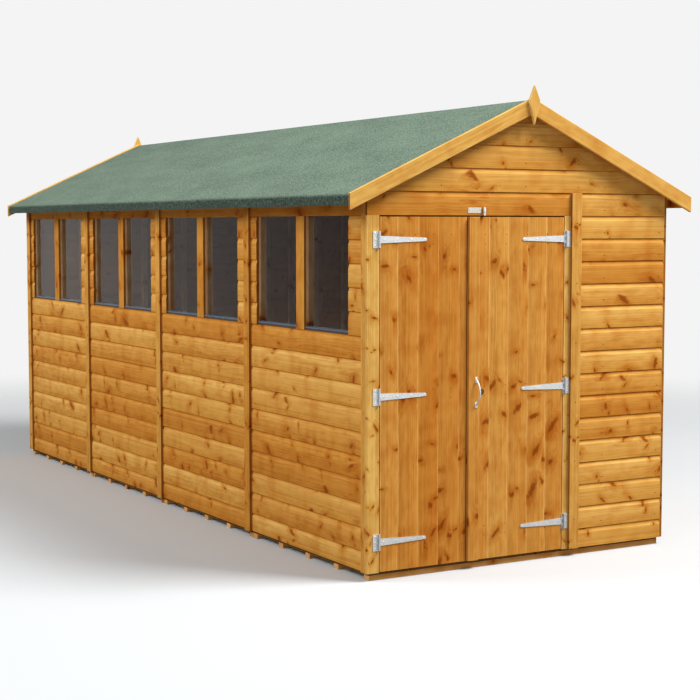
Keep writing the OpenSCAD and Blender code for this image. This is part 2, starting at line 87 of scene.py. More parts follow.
class Shade:
    """A socket of a finish. Sums of shades and numbers become Math nodes."""

    def __init__(self, tree, socket=None):
        self.tree = tree
        self.socket = socket

    def node(self, kind, settings, sockets):
        """Adds any other node: its settings first, then the values or links of its sockets."""
        made = self.tree.nodes.new(kind)
        for name, value in settings.items():
            setattr(made, name, value)
        for key, value in sockets.items():
            by_name = [s for s in made.inputs if s.enabled and s.name == key]
            socket = by_name[0] if by_name else made.inputs[key]
            if isinstance(value, Shade):
                self.tree.links.new(value.socket, socket)
            else:
                socket.default_value = value
        return {out.name: Shade(self.tree, out) for out in made.outputs if out.enabled}

    def math(self, operation, first, second):
        return self.node("ShaderNodeMath", {"operation": operation}, {0: first, 1: second})["Value"]

    def __add__(self, other):
        return self.math("ADD", self, other)

    def __radd__(self, other):
        return self.math("ADD", other, self)

    def __sub__(self, other):
        return self.math("SUBTRACT", self, other)

    def __rsub__(self, other):
        return self.math("SUBTRACT", other, self)

    def __mul__(self, other):
        return self.math("MULTIPLY", self, other)

    def __rmul__(self, other):
        return self.math("MULTIPLY", other, self)

    def __truediv__(self, other):
        return self.math("DIVIDE", self, other)

    def __pow__(self, other):
        return self.math("POWER", self, other)

    def part(self):
        """What is left of a number after its whole part."""
        return self.math("FRACT", self, 0.0)

    def rise(self, low, high):
        """0 at low and 1 at high, with a soft start and end."""
        sockets = {"Value": self, "From Min": low, "From Max": high}
        return self.node("ShaderNodeMapRange", {"interpolation_type": "SMOOTHSTEP"}, sockets)["Result"]

    def blend(self, low, high):
        """The colour low where this shade is 0 and high where it is 1."""
        sockets = {"Factor": self, "A": low, "B": high}
        return self.node("ShaderNodeMix", {"data_type": "RGBA"}, sockets)["Result"]

    def cover(self, under, over):
        """The shader under where this shade is 0 and over where it is 1."""
        return self.node("ShaderNodeMixShader", {}, {0: self, 1: under, 2: over})["Shader"]

    def glaze(self, colour):
        """This colour seen through another."""
        settings = {"data_type": "RGBA", "blend_type": "MULTIPLY"}
        return self.node("ShaderNodeMix", settings, {"Factor": 1.0, "A": self, "B": colour})["Result"]

    def vector(self, operation, other):
        return self.node("ShaderNodeVectorMath", {"operation": operation}, {0: self, 1: other})["Vector"]

    def axes(self):
        parts = self.node("ShaderNodeSeparateXYZ", {}, {"Vector": self})
        return parts["X"], parts["Y"], parts["Z"]

    def cloud(self, stretch, detail):
        """Soft noise round 0.5 over this vector, with its own number of waves a metre along each axis."""
        sockets = {"Vector": self.vector("MULTIPLY", stretch), "Scale": 1.0, "Detail": detail}
        return self.node("ShaderNodeTexNoise", {}, sockets)["Fac"]

    def place(self):
        """Where a point is on the shed, in metres."""
        return self.node("ShaderNodeTexCoord", {}, {})["Object"]

    def painted(self, name, output="Fac"):
        """What the mesh carries under a name at each of its corners."""
        return self.node("ShaderNodeAttribute", {"attribute_name": name}, {})[output]


def new_finish(name):
    """An empty material, and a shade to start its nodes from."""
    material = bpy.data.materials.new(name)
    material.use_nodes = True
    material.node_tree.nodes.clear()
    return material, Shade(material.node_tree)


def close_finish(start, bump, depth, sockets):
    """Ends a finish in a shader whose surface is raised by the bump shade, depth metres at most."""
    relief = {"Strength": 1.0, "Distance": depth, "Height": bump}
    raised = start.node("ShaderNodeBump", {}, relief)["Normal"]
    shader = start.node("ShaderNodeBsdfPrincipled", {}, {"Normal": raised, **sockets})["BSDF"]
    start.node("ShaderNodeOutputMaterial", {}, {"Surface": shader})


def whorls(grain, radius, share):
    """Knots, alone or in pairs, in loose groups along a board: in one, near one, and near a group."""
    start = Shade(grain.tree)
    pitch = 7.0 * radius
    lane = 3.8 * radius
    spread = (8.0, 3.0, 0.0)
    cells = grain.vector("MULTIPLY", (1 / pitch, 1 / lane, 0.0))
    sockets = {"Vector": cells, "Scale": 1.0, "Randomness": 0.8}
    flat = {"voronoi_dimensions": "2D"}
    to_edge = {"feature": "DISTANCE_TO_EDGE", **flat}
    cell = start.node("ShaderNodeTexVoronoi", flat, sockets)
    border = start.node("ShaderNodeTexVoronoi", to_edge, sockets)["Distance"]
    offset = cells.vector("SUBTRACT", cell["Position"]).vector("MULTIPLY", (pitch, lane, 0.0))
    ahead, aside, _ = offset.axes()
    luck = start.node("ShaderNodeSeparateColor", {}, {"Color": cell["Color"]})
    size = radius * (0.22 + 0.5 * luck["Red"] * luck["Red"])
    twin = (luck["Green"] * 9.0).part().rise(0.6, 0.62)
    side = start.math("SIGN", aside, 0.0) * twin
    aside = aside + (start.math("ABSOLUTE", aside, 0.0) - size * 2.2 - aside) * twin
    ahead = ahead + side * size * 1.2
    size = size * (1.0 + side * 0.35)
    turn = (luck["Green"] - 0.5) * 2.6
    sine = start.math("SINE", turn, 0.0)
    cosine = start.math("COSINE", turn, 0.0)
    drawn = (aside * cosine + ahead * sine) / (1.1 + 2.6 * (luck["Red"] * 7.0).part())
    wide = ahead * cosine - aside * sine
    fray = grain.cloud((55.0, 75.0, 75.0), 3.0)
    far = (drawn * drawn + wide * wide) ** 0.5 / size + (fray - 0.5) * 1.6
    group = cell["Position"].vector("MULTIPLY", (pitch, lane, 0.0)).cloud(spread, 1.0).rise(0.34, 0.66)
    there = ((luck["Blue"] * 0.6 + group) * share).rise(0.88, 0.9) * border.rise(0.0, 0.12)
    gathered = grain.cloud(spread, 1.0).rise(0.45, 0.72)
    return far.rise(1.5, 0.3) * there, far.rise(4.6, 0.6) * there, gathered


def softwood(name, pale, ruddy, knot_radius=0.024, sawn=0.0, knotty=1.0, dip_and_shade=dip_and_painted_shade):
    """Dipped spruce: growth rings cut through by the board, streaks, fine fibres, and knots among them."""
    material, start = new_finish(name)
    grain = start.painted("grain", "Vector")
    tone = start.painted("tone")
    tint_and_shade = start.painted("tint_and_shade")
    wander = grain.cloud((1.6, 9.0, 9.0), 2.0)
    fibre = grain.cloud((6.0, 420.0, 420.0), 3.0)
    streak = grain.cloud((1.3, 75.0, 75.0), 3.0)
    blotch = grain.cloud((4.0, 16.0, 16.0), 3.0)
    figure = grain.cloud((13.0, 34.0, 34.0), 3.0)
    knot, halo, group = whorls(grain, knot_radius, knotty)

    _, across, deep = grain.axes()
    bent = across + (wander - 0.5) * 0.05
    reach = (bent * bent + deep * deep) ** 0.5
    rings = (reach / ring_gap + halo * 1.6 + (wander - 0.5) * 2.0).part()
    late = rings.rise(0.2, 0.95)

    board = tone.blend(dye(pale), dye(ruddy))
    fine = (fibre - 0.5) * 0.5 + (streak - 0.5) * 0.7
    grain_darkness = late * 0.26 + fine + (blotch - 0.5) * 0.8 + (figure - 0.5) * 1.1
    stained = grain_darkness.rise(-0.45, 0.9).blend(board, board.glaze(late_wood))
    warmed = (halo * 0.6 + group * 0.45).blend(stained, stained.glaze(resin))
    knotted = (knot * 0.92).blend(warmed, knot.rise(0.3, 1.0).blend(dye(knot_red), dye(knot_heart)))
    # pale glaze on eased edges, V flanks and scoop feet: partly wear, partly painted highlight
    pale_band = (tint_and_shade * -1.0).rise(0.0, 0.8) * (figure + (tone * 3.7).part() * 0.6).rise(0.2, 0.85)
    rubbed_and_highlit = pale_band.blend(knotted, knotted.glaze(pale_glaze))
    # end grain darkens with dip; scoop tops and sawn sides darken with the same glaze as painted shade
    dipped = (tint_and_shade.rise(0.1, 0.95) * 0.92).blend(rubbed_and_highlit, rubbed_and_highlit.glaze(dip_and_shade))
    rough = 0.62 + fibre * 0.2 - knot * 0.1
    fuzz = sawn * grain.cloud((900.0, 60.0, 60.0), 2.0)
    bump = late * 0.25 + fibre * 0.45 + knot * 0.4 + fuzz
    sockets = {"Base Color": dipped, "Roughness": rough, "Specular IOR Level": wood_gloss}
    close_finish(start, bump, grain_relief, sockets)
    return material


def islands(bm):
    """The vertices of each separate solid in a mesh, one list each."""
    seen = set()
    for first in bm.verts:
        if first in seen:
            continue
        island = [first]
        seen.add(first)
        for vert in island:
            for edge in vert.link_edges:
                other = edge.other_vert(vert)
                if other not in seen:
                    seen.add(other)
                    island.append(other)
        yield island


def corners(verts):
    """The lowest and highest corner of some vertices."""
    low = Vector([min(v.co[i] for v in verts) for i in range(3)])
    high = Vector([max(v.co[i] for v in verts) for i in range(3)])
    return low, high


def copied(node):
    """A welded copy of a CAD node's solids, with no more than their true edges."""
    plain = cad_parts[node].data.copy()
    for name in [a.name for a in plain.attributes if not a.is_required and not a.is_internal]:
        plain.attributes.remove(plain.attributes[name])
    bm = bmesh.new()
    bm.from_mesh(plain)
    bpy.data.meshes.remove(plain)
    bmesh.ops.remove_doubles(bm, verts=bm.verts[:], dist=weld_gap)
    bmesh.ops.dissolve_limit(bm, angle_limit=flat_angle, verts=bm.verts[:], edges=bm.edges[:])
    for face in bm.faces:
        face.material_index = 0
    return bm


def solids(node):
    """The lowest and highest corner of each solid in a CAD node, in the order of their lowest corners."""
    bm = copied(node)
    boxes = [corners(verts) for verts in islands(bm)]
    bm.free()
    return sorted(boxes, key=lambda box: tuple(box[0]))


def ease(bm, edges, width, steps=2):
    """Rounds some edges off, in a few steps."""
    bmesh.ops.bevel(bm, geom=edges, offset=width, offset_type="OFFSET", segments=steps, profile=0.5,
                    affect="EDGES", material=-1, clamp_overlap=True)


def open_grain(bm):
    """Makes room in a mesh for each timber's grain, its tone and the tint of its corners, which carries
    painted highlight and painted shade.
    """
    bm.verts.layers.float_vector.new("grain")
    bm.verts.layers.float.new("tone")
    bm.loops.layers.float.new("tint_and_shade")


def lay_grain(bm, verts, along, face, tint=None, ripped_side_shade=0.0, ends=end_grain):
    """Gives one timber its place in a log: along the fibres, across its face, and out from the heart.
    Sawn ends soak up more of the dark preservative, sawn sides across the face may be painted dark as
    painted shade, eased edges are glazed pale as wear and painted highlight, and a face may have a tint."""
    grain = bm.verts.layers.float_vector["grain"]
    tone = bm.verts.layers.float["tone"]
    tint_and_shade = bm.loops.layers.float["tint_and_shade"]
    across = face.cross(along)
    low, high = corners(verts)
    middle = (low + high) / 2
    onward = draw.uniform(0, log_length)
    aside = draw.uniform(-heart_aside, heart_aside)
    outward = draw.uniform(heart_near, heart_far)
    log = Vector((onward, aside, outward))
    shade = draw.random()
    for vert in verts:
        reach = vert.co - middle
        vert[grain] = log + Vector((reach.dot(along), reach.dot(across), reach.dot(face)))
        vert[tone] = shade
    for side in {f for v in verts for f in v.link_faces}:
        square = max(abs(side.normal.dot(face)), abs(side.normal.dot(across)))
        for loop in side.loops:
            if abs(side.normal.dot(along)) > end_on:
                loop[tint_and_shade] = ends
            elif tint and abs(side.normal.dot(face)) > face_on:
                loop[tint_and_shade] = tint(loop.vert.co) if side.normal.dot(face) > 0 else sawn_back
            # painted shade: sides across the face take the given darkness, on cover strips, middle posts
            # and floor edges
            elif abs(side.normal.dot(across)) > square_on:
                loop[tint_and_shade] = ripped_side_shade
            else:
                loop[tint_and_shade] = pale_edge if square < square_on else 0.0


def piece(bm, name, body, slot, finish, *nodes):
    """Makes a finished mesh a piece of the shed that rides on a body and stands for CAD nodes."""
    mesh = bpy.data.meshes.new(name)
    bm.to_mesh(mesh)
    bm.free()
    mesh.shade_smooth()
    mesh.set_sharp_from_angle(angle=crease_angle)
    mesh.materials.append(finish)
    made = bpy.data.objects.new(name, mesh)
    bpy.context.scene.collection.objects.link(made)
    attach(made, body)
    if nodes:
        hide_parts(*nodes)
    return made


def dressed(node, width, along=None, ripped_side_shade=0.0, ends=end_grain):
    """A CAD node's solids with their edges eased and grain down the length of each."""
    bm = copied(node)
    ease(bm, [e for e in bm.edges if e.calc_face_angle(0.0) > crease_angle], width)
    bm.normal_update()
    open_grain(bm)
    for verts in islands(bm):
        longest = max((e for v in verts for e in v.link_edges), key=lambda e: e.calc_length())
        widest = max((f for v in verts for f in v.link_faces), key=lambda f: f.calc_area())
        run = along or (longest.verts[1].co - longest.verts[0].co).normalized()
        face = (widest.normal - run * widest.normal.dot(run)).normalized()
        lay_grain(bm, verts, run, face, ripped_side_shade=ripped_side_shade, ends=ends)
    return bm


bearer_wood = softwood("bearer_wood", bearer_pale, bearer_ruddy, sawn=0.4)
bearers = dressed("bearers", bearer_ease, ends=pale_edge)
piece(bearers, "floor_bearers", "shed", "framing", bearer_wood, "bearers")


# Floor: planed softwood boards, tongued and grooved, that run down the length of each of the four
# sections. They are nailed to the bearers and left bare and pale. Their edges and ends are painted
# near-black: painted shade where they lie under the walls.
floor_board = 0.112
floor_ease = 0.0012
floor_gap = 0.0008
floor_pale = (222, 178, 112)
floor_ruddy = (204, 154, 88)
# painted shade: near-black for the floor's edges and ends under the walls
floor_edge_painted_shade = (0.12, 0.09, 0.07, 1.0)
shade_under_walls = 1.0
north = Vector((0, 1, 0))


def add(group, bm):
    """Puts a finished board or fitting into a group of like ones."""
    mesh = bpy.data.meshes.new("part")
    bm.to_mesh(mesh)
    bm.free()
    group.from_mesh(mesh)
    bpy.data.meshes.remove(mesh)


def stack(group, bm, along, face, tint=None, ripped_side_shade=0.0):
    """Adds one finished board to a group of boards, with a grain of its own."""
    bmesh.ops.recalc_face_normals(bm, faces=bm.faces[:])
    open_grain(bm)
    lay_grain(bm, bm.verts[:], along, face, tint, ripped_side_shade)
    add(group, bm)


def block(middle, size, width):
    """A square block of some size round a point, with its edges eased."""
    bm = bmesh.new()
    place = Matrix.Translation(middle) @ Matrix.Diagonal((*size, 1.0))
    bmesh.ops.create_cube(bm, size=1.0, matrix=place)
    ease(bm, bm.edges[:], width)
    return bm


def plank(group, low, high, width, along, face, ripped_side_shade=0.0):
    """Adds a square-edged board between two corners, with its edges eased."""
    bm = block((low + high) / 2, high - low, width)
    stack(group, bm, along, face, ripped_side_shade=ripped_side_shade)


floor_boards = bmesh.new()
for low, high in solids("floor_decks"):
    count = round((high.x - low.x) / floor_board)
    step = (high.x - low.x) / count
    for i in range(count):
        left = Vector((low.x + i * step + floor_gap / 2, low.y, low.z))
        right = Vector((low.x + (i + 1) * step - floor_gap / 2, high.y, high.z))
        plank(floor_boards, left, right, floor_ease, north, up, shade_under_walls)
floor_wood = softwood("floor_wood", floor_pale, floor_ruddy, knot_radius=0.010, dip_and_shade=floor_edge_painted_shade)
piece(floor_boards, "floor_boards", "shed", "floor", floor_wood, "floor_decks")


# Wall framing: sawn softwood studs, rails and plates behind the cladding, butted and nailed into
# panels. It shows through the panes and the open doors.
framing_ease = 0.001
framing_pale = (232, 196, 156)
framing_ruddy = (218, 176, 134)
framing_wood = softwood("framing_wood", framing_pale, framing_ruddy, sawn=0.35)
for node in ("side_studs", "side_rails", "side_plates", "gable_studs", "gable_rails"):
    piece(dressed(node, framing_ease), "sawn_" + node, "shed", "framing", framing_wood, node)


# Windowed long side: shiplap boards nailed across four panels, up to the panes, between them and over
# them. Each board has a scoop along its top that tucks behind the lip of the board above. The posts
# between two panes are upright boards.
board_rows = 5
board_ease = 0.0015
scoop_height = 0.024
scoop_depth = 0.0048
scoop_steps = 8
lap_height = 0.009
lap_play = 0.0004
lip_shade_power = 5
ripped_side_painted_shade = 0.7
panel_piers = 3
west = Vector((-1, 0, 0))
board_pale = (229, 170, 79)
board_ruddy = (209, 137, 49)
sill_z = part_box("left_piers")[0].z
head_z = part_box("left_piers")[1].z
board_cover = (head_z - sill_z) / board_rows
board_wood = softwood("board_wood", board_pale, board_ruddy)
heads_low, heads_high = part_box("left_heads")
board_thick = heads_high.x - heads_low.x
apex_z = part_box("front_gable")[1].z
roof_fall = (apex_z - heads_high.z) / -heads_high.x
roof_angle = math.atan(roof_fall)
roof_cuts = [(Vector((0, 0, apex_z)), Vector((side * math.sin(roof_angle), 0, math.cos(roof_angle))))
             for side in (-1, 1)]


def shiplap_outline():
    """Round one board as (depth, height), from the foot of its face: lip, scoop, tongue and rebate."""
    radius = (scoop_depth ** 2 + scoop_height ** 2) / (2 * scoop_depth)
    sweep = math.asin(scoop_height / radius)
    turns = [sweep * (1 - i / scoop_steps) for i in range(scoop_steps + 1)]
    scoop = [(scoop_depth - radius * (1 - math.cos(turn)), board_cover - radius * math.sin(turn))
             for turn in turns]
    tongue_top = board_cover + lap_height
    rebate = scoop_depth - lap_play
    return [(board_ease, 0.0), (0.0, board_ease), *scoop, (scoop_depth, tongue_top),
            (board_thick, tongue_top), (board_thick, lap_height + lap_play),
            (rebate, lap_height + lap_play), (rebate, 0.0)]


# painted highlight at the foot of each scoop and painted shade at its top, under the next board's lip
def scoop_highlight_and_shade(level):
    """The scoop's tint at a level above the lip: a painted highlight at its foot, and painted shade under
    the next lip.
    """
    up_scoop = (level - board_cover + scoop_height) / scoop_height
    if up_scoop <= -weld_gap:
        return 0.0
    return pale_edge + (1.0 - pale_edge) * min(1.0, up_scoop) ** lip_shade_power


def drawn_out(outline, length, place):
    """A board with this outline, (depth, height) pairs, drawn out along its length and put in place."""
    bm = bmesh.new()
    end = bm.faces.new([bm.verts.new((0.0, depth, height)) for depth, height in outline])
    grown = bmesh.ops.extrude_face_region(bm, geom=[end])["geom"]
    far_end = [v for v in grown if isinstance(v, bmesh.types.BMVert)]
    bmesh.ops.translate(bm, verts=far_end, vec=(length, 0, 0))
    bmesh.ops.recalc_face_normals(bm, faces=bm.faces[:])
    bmesh.ops.transform(bm, matrix=place, verts=bm.verts[:])
    return bm


def saw(bm, point, beyond):
    """Saws off what lies beyond a plane, and closes the cut."""
    if all((v.co - point).dot(beyond) < weld_gap for v in bm.verts):
        return
    parts = bm.verts[:] + bm.edges[:] + bm.faces[:]
    cut = bmesh.ops.bisect_plane(bm, geom=parts, dist=weld_gap / 10, plane_co=point, plane_no=beyond,
                                 clear_outer=True)
    rim = [e for e in cut["geom_cut"] if isinstance(e, bmesh.types.BMEdge)]
    bmesh.ops.holes_fill(bm, edges=rim, sides=0)


def rows(low, high):
    """The foot of each row of boards between two levels. The rows line up all round the shed."""
    first = math.floor((low - head_z) / board_cover + weld_gap)
    last = math.ceil((high - head_z) / board_cover - weld_gap)
    return [head_z + board_cover * i for i in range(first, last)]


def shiplap(group, low, high, out, cuts=()):
    """Lays boards one over the other on the outer face of a panel, sawn off at its foot and head."""
    along = up.cross(out)
    run = abs(along.dot(high - low))
    start = (low + high) / 2 + out * abs(out.dot(high - low)) / 2 - along * run / 2
    for foot in rows(low.z, high.z):
        turn = Matrix((along, -out, up)).transposed().to_4x4()
        bm = drawn_out(shiplap_outline(), run, Matrix.Translation((start.x, start.y, foot)) @ turn)
        for point, beyond in ((low, -up), (high, up), *cuts):
            saw(bm, point, beyond)
        if bm.faces:
            stack(group, bm, along, out, lambda point: scoop_highlight_and_shade(point.z - foot))
        else:
            bm.free()


dado = bmesh.new()
for low, high in solids("left_dado"):
    shiplap(dado, low, high, west)
piece(dado, "windowed_side_boards", "shed", "cladding", board_wood, "left_dado")

piers = bmesh.new()
for i, (low, high) in enumerate(sorted(solids("left_piers"), key=lambda box: box[0].y)):
    if i % panel_piers == 1:
        # painted shade: the sides of the upright board between two panes are painted dark
        plank(piers, low, high, board_ease, up, west, ripped_side_painted_shade)
    else:
        shiplap(piers, low, high, west)
piece(piers, "pane_side_boards", "shed", "cladding", board_wood, "left_piers")

heads = bmesh.new()
for low, high in solids("left_heads"):
    shiplap(heads, low, high, west, roof_cuts)
piece(heads, "pane_head_boards", "shed", "cladding", board_wood, "left_heads")


# Panes: eight fixed sheets of clear glazing set behind the boards against the studs. The shed is dark
# inside, so they look almost black, and the side of a stud shows in each.
pane_tint = (240, 242, 242)
pane_dust = (96, 92, 88)
pane_sheen = (0.8, 0.78, 0.76, 1.0)
pane_rough = 0.04
dust_share = 0.02
glance = 6.0
glass, start = new_finish("pane_glazing")
dust = start.place().cloud((3.0, 3.0, 1.2), 4.0).rise(0.3, 0.9) * dust_share
clear = start.node("ShaderNodeBsdfTransparent", {}, {"Color": dye(pane_tint)})["BSDF"]
sheen = start.node("ShaderNodeBsdfGlossy", {}, {"Color": pane_sheen, "Roughness": pane_rough})["BSDF"]
film = start.node("ShaderNodeBsdfDiffuse", {}, {"Color": dye(pane_dust)})["BSDF"]
facing = start.node("ShaderNodeLayerWeight", {}, {"Blend": 0.5})["Facing"]
dusty = dust.cover(clear, film)
start.node("ShaderNodeOutputMaterial", {}, {"Surface": (facing ** glance).cover(dusty, sheen)})
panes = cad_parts["left_glazing"]
panes.data.materials.clear()
panes.data.materials.append(glass)


# Sill beads: extruded strips of slate-blue plastic along the foot of each pane, which throw the rain off
# the sill. Each has a rounded nose with a painted highlight, over a black strip that is painted shade.
bead_rise = 0.007
nose_ease = 0.0026
nose_steps = 4
shade_strip_ease = 0.0008
fine_relief = 0.0002
highlight_share = 0.25
bead_rough = 0.08
shade_strip_rough = 0.5
bead_blue = (44, 60, 78)
bead_dark = (28, 36, 46)
bead_painted_highlight = (150, 176, 196)
shade_strip_black = (24, 25, 24)
shade_strip_marks_and_highlight = (40, 40, 38)
sideways = Matrix(((0, 1, 0, 0), (1, 0, 0, 0), (0, 0, 1, 0), (0, 0, 0, 1)))


def moulding(name, ground, marks, highlight, rough):
    """Smooth plastic with faint marks of dust and weather, and a painted highlight on its eased edges. It
    also makes the black strips that are painted shade.
    """
    material, start = new_finish(name)
    grime = start.place().cloud((60.0, 6.0, 60.0), 4.0)
    rubbed_and_highlit = start.painted("tint_and_shade") * -1.0
    plain = grime.rise(0.3, 0.75).blend(dye(ground), dye(marks))
    colour = (rubbed_and_highlit.rise(0.2, 0.7) * highlight_share).blend(plain, dye(highlight))
    close_finish(start, grime, fine_relief, {"Base Color": colour, "Roughness": rough + grime * 0.2})
    return material


beads = bmesh.new()
shade_strips = bmesh.new()
for low, high in solids("left_sill_beads"):
    lip = low.z + bead_rise
    side_on = [(low.x, lip), (high.x, lip), (high.x, high.z), (low.x, lip + bead_rise)]
    bm = drawn_out(side_on, high.y - low.y, Matrix.Translation((0, low.y, 0)) @ sideways)
    nose = [e for e in bm.edges if all(v.co.x < low.x + weld_gap for v in e.verts)]
    ease(bm, [e for e in nose if e.calc_length() > bead_rise + weld_gap], nose_ease, nose_steps)
    stack(beads, bm, north, up)
    behind_nose = Vector((low.x + nose_ease, low.y, low.z))
    # painted shade: a black strip under each nose, where the gap under the bead lies in shade
    plank(shade_strips, behind_nose, Vector((high.x, high.y, lip)), shade_strip_ease, north, up)
bead_finish = moulding("sill_bead_plastic", bead_blue, bead_dark, bead_painted_highlight, bead_rough)
painted_shade_finish = moulding("painted_shade_black", shade_strip_black, shade_strip_marks_and_highlight, shade_strip_marks_and_highlight, shade_strip_rough)
piece(beads, "sill_bead_strips", "shed", "sill_bead", bead_finish, "left_sill_beads")
piece(shade_strips, "sill_bead_shade_strips", "shed", "sill_bead", painted_shade_finish)


# Plain long side and rear gable: the same shiplap boards, nailed across their panels from the floor up to
# the roof boards, and sawn off there to the slope of the roof.
plain_side = bmesh.new()
for low, high in solids("right_cladding"):
    shiplap(plain_side, low, high, -west, roof_cuts)
piece(plain_side, "plain_side_boards", "shed", "cladding", board_wood, "right_cladding")

rear = bmesh.new()
for low, high in solids("rear_cladding"):
    shiplap(rear, low, high, north, roof_cuts)
piece(rear, "rear_gable_boards", "shed", "cladding", board_wood, "rear_cladding")


# Front gable: shiplap over the doors and in the narrow panel beside them, with a planed post on each
# side of the doorway.
trim_ease = 0.002
trim_pale = (240, 194, 106)
trim_ruddy = (230, 174, 84)
trim_wood = softwood("trim_wood", trim_pale, trim_ruddy, knot_radius=0.012)
gable = bmesh.new()
for low, high in solids("front_gable"):
    shiplap(gable, low, high, -north, roof_cuts)
piece(gable, "front_gable_boards", "shed", "cladding", board_wood, "front_gable")
side_panel = bmesh.new()
shiplap(side_panel, *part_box("front_side_panel"), -north, roof_cuts)
piece(side_panel, "front_panel_boards", "shed", "cladding", board_wood, "front_side_panel")
for node in ("front_left_post", "front_right_post"):
    piece(dressed(node, trim_ease), "planed_" + node, "shed", "trim", trim_wood, node)


# Cover strips: battens nailed over the joints of the panels and the corners of the shed. Their faces are
# planed, and their edges are as the saw left them; those sides are painted dark, partly as the dark
# preservative and partly as painted shade.
strip_pale = (232, 178, 90)
strip_ruddy = (216, 152, 64)
strip_wood = softwood("strip_wood", strip_pale, strip_ruddy, knot_radius=0.014)
for node in ("side_strips", "corner_strips", "front_strip", "rear_strip"):
    piece(dressed(node, trim_ease, up, ripped_side_painted_shade), "planed_" + node, "shed", "trim", strip_wood, node)


# Nails: round heads, a little proud, one through each board at every stud behind it, and a few down
# each cover strip. They are dulled by the dip.
nail_radius = 0.0032
nail_height = 0.0008
nail_sides = 10
nail_crown = 0.75
nail_up = 0.030
strip_nail_gap = 0.30
mullion_width = 0.06
nail_colour = (112, 72, 32)
nail_dark = (70, 42, 16)


def stood_out(point, out):
    """The place of a fastener that stands out of a face at a point."""
    return Matrix.Translation(point) @ out.to_track_quat("Z", "Y").to_matrix().to_4x4()


def nail(group, point, out, radius=nail_radius):
    """Adds a nail's head to a group, its foot sunk in the board."""
    bmesh.ops.create_cone(group, cap_ends=True, segments=nail_sides, radius1=radius,
                          radius2=radius * nail_crown, depth=2 * nail_height, matrix=stood_out(point, out))


nail_steel, start = new_finish("nail_steel")
rust = start.place().cloud((300.0, 300.0, 300.0), 3.0)
close_finish(start, rust, fine_relief, {
    "Base Color": rust.rise(0.35, 0.65).blend(dye(nail_colour), dye(nail_dark)),
    "Roughness": 0.5 + rust * 0.3, "Specular IOR Level": 0.1})

wall_nails = bmesh.new()
wall_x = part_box("right_cladding")[1].x
for low, high in solids("side_studs"):
    side = 1 if low.x > 0 else -1
    face = side * wall_x
    mullion = side < 0 and high.y - low.y > mullion_width
    for foot in rows(low.z, high.z)[1:]:
        between_panes = mullion and sill_z - weld_gap < foot < head_z - weld_gap
        if foot + nail_up < high.z and not between_panes:
            nail(wall_nails, Vector((face, (low.y + high.y) / 2, foot + nail_up)), Vector((side, 0, 0)))
for low, high in solids("gable_studs"):
    side = 1 if low.y > 0 else -1
    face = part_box("rear_cladding")[1].y if side > 0 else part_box("front_gable")[0].y
    behind_post = side < 0 and high.z < head_z + weld_gap
    for foot in rows(low.z, high.z)[1:]:
        if foot + nail_up < high.z and not behind_post:
            nail(wall_nails, Vector(((low.x + high.x) / 2, face, foot + nail_up)), Vector((0, side, 0)))
for node, out in (("side_strips", None), ("corner_strips", None),
                  ("front_strip", -north), ("rear_strip", north)):
    for low, high in solids(node):
        facing_out = out or (west if low.x < 0 else -west)
        middle = (low + high) / 2
        face = middle + facing_out * abs(facing_out.dot(high - low)) / 2
        count = math.floor((high.z - low.z) / strip_nail_gap)
        for i in range(count):
            level = low.z + (high.z - low.z) * (i + 0.5) / count
            nail(wall_nails, Vector((face.x, face.y, level)), facing_out)
piece(wall_nails, "wall_nails", "shed", "zinc", nail_steel)


# Roof timbers: a ridge beam and two purlins of bare sawn softwood. They run from gable to gable, are
# nailed to the panels there, and carry the roof boards.
purlins = dressed("purlins", framing_ease)
piece(purlins, "sawn_purlins", "shed", "framing", framing_wood, "purlins")


# Roof boards: thin tongued boards nailed across the purlins, side by side from the eaves to the
# ridge. Their undersides show inside the shed, and a sawn fascia is nailed under them along each of the
# eaves.
roof_board = 0.096
roof_ease = 0.0012
roof_lengths = 4
roof_wood = softwood("roof_wood", framing_pale, framing_ruddy, sawn=0.2)


def roof_slope(node, side):
    """Boards for one slope of the roof, between the ridge and the edge over the eaves."""
    low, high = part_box(node)
    edge = low.x if side < 0 else high.x
    drop = high.z - roof_fall * abs(edge) - low.z
    thick = drop * math.cos(roof_angle)
    fall = Vector((side * math.cos(roof_angle), 0, -math.sin(roof_angle)))
    face = Vector((side * math.sin(roof_angle), 0, math.cos(roof_angle)))
    turn = Matrix((fall, north * side, face)).transposed().to_4x4()
    place = Matrix.Translation((0, 0, high.z)) @ turn
    slope_length = abs(edge) / math.cos(roof_angle)
    count = math.ceil(slope_length / roof_board)
    step = slope_length / count
    boards = bmesh.new()
    for i in range(-1, count + 1):
        for j in range(roof_lengths):
            size = Vector((step, (high.y - low.y) / roof_lengths, thick))
            middle = Vector(((i + 0.5) * step, side * (low.y + (j + 0.5) * size.y), -thick / 2))
            bm = block(middle, size, roof_ease)
            bmesh.ops.transform(bm, matrix=place, verts=bm.verts[:])
            saw(bm, Vector((0, 0, 0)), Vector((-side, 0, 0)))
            saw(bm, Vector((edge, 0, 0)), Vector((side, 0, 0)))
            if bm.faces:
                stack(boards, bm, north, face)
            else:
                bm.free()
    piece(boards, node + "_boards", "shed", "framing", roof_wood, node)


roof_slope("roof_left", -1)
roof_slope("roof_right", 1)
fascias = dressed("eaves_fascias", framing_ease)
piece(fascias, "sawn_eaves_fascias", "shed", "cladding", board_wood, "eaves_fascias")


